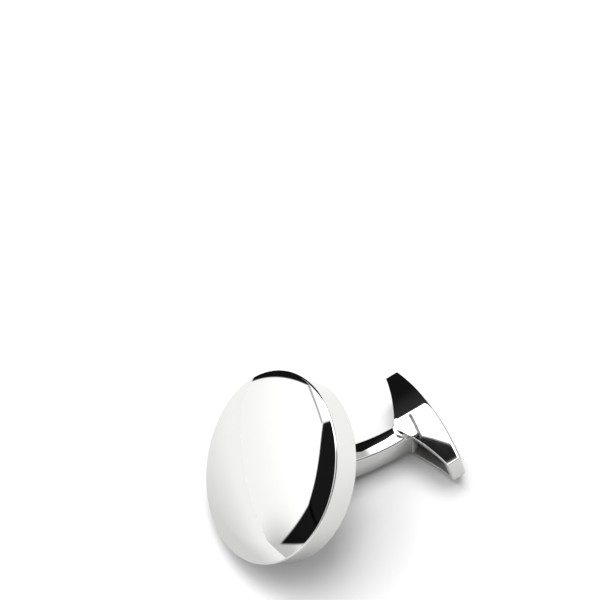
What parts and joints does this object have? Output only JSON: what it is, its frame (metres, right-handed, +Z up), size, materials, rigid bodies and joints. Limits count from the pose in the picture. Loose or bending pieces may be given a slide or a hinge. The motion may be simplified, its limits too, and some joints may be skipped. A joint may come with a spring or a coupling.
{
  "type": "cufflink",
  "caption": "Round domed cufflink with a curved arm and a hollow boat-shaped bar that swivels on a cross pin to pass a buttonhole.",
  "frame": {"origin": "middle of the footprint on the table that the cufflink lies on", "axes": "+X along the swivel bar, +Y from the head towards the bar, +Z up from the table"},
  "size_m": [0.019, 0.0266, 0.0155],
  "materials": {
    "polished_silver": "mirror polish",
    "spring_steel": "rolled strip, bright"
  },
  "bodies": {
    "head": {"face_shell": "polished_silver", "back_plate": "polished_silver", "tenon_collar": "polished_silver", "arm": "polished_silver"},
    "bar": {"toggle_shell": "polished_silver", "pivot_pin": "polished_silver", "leaf_spring": "spring_steel"}
  },
  "joints": [
    {"name": "bar_swivel", "type": "hinge", "parent": "head", "child": "bar", "pos_m": [0, 0.00908, 0.00264], "axis": [0, 0.222, -0.9751], "range_deg": [-85, 85]}
  ]
}
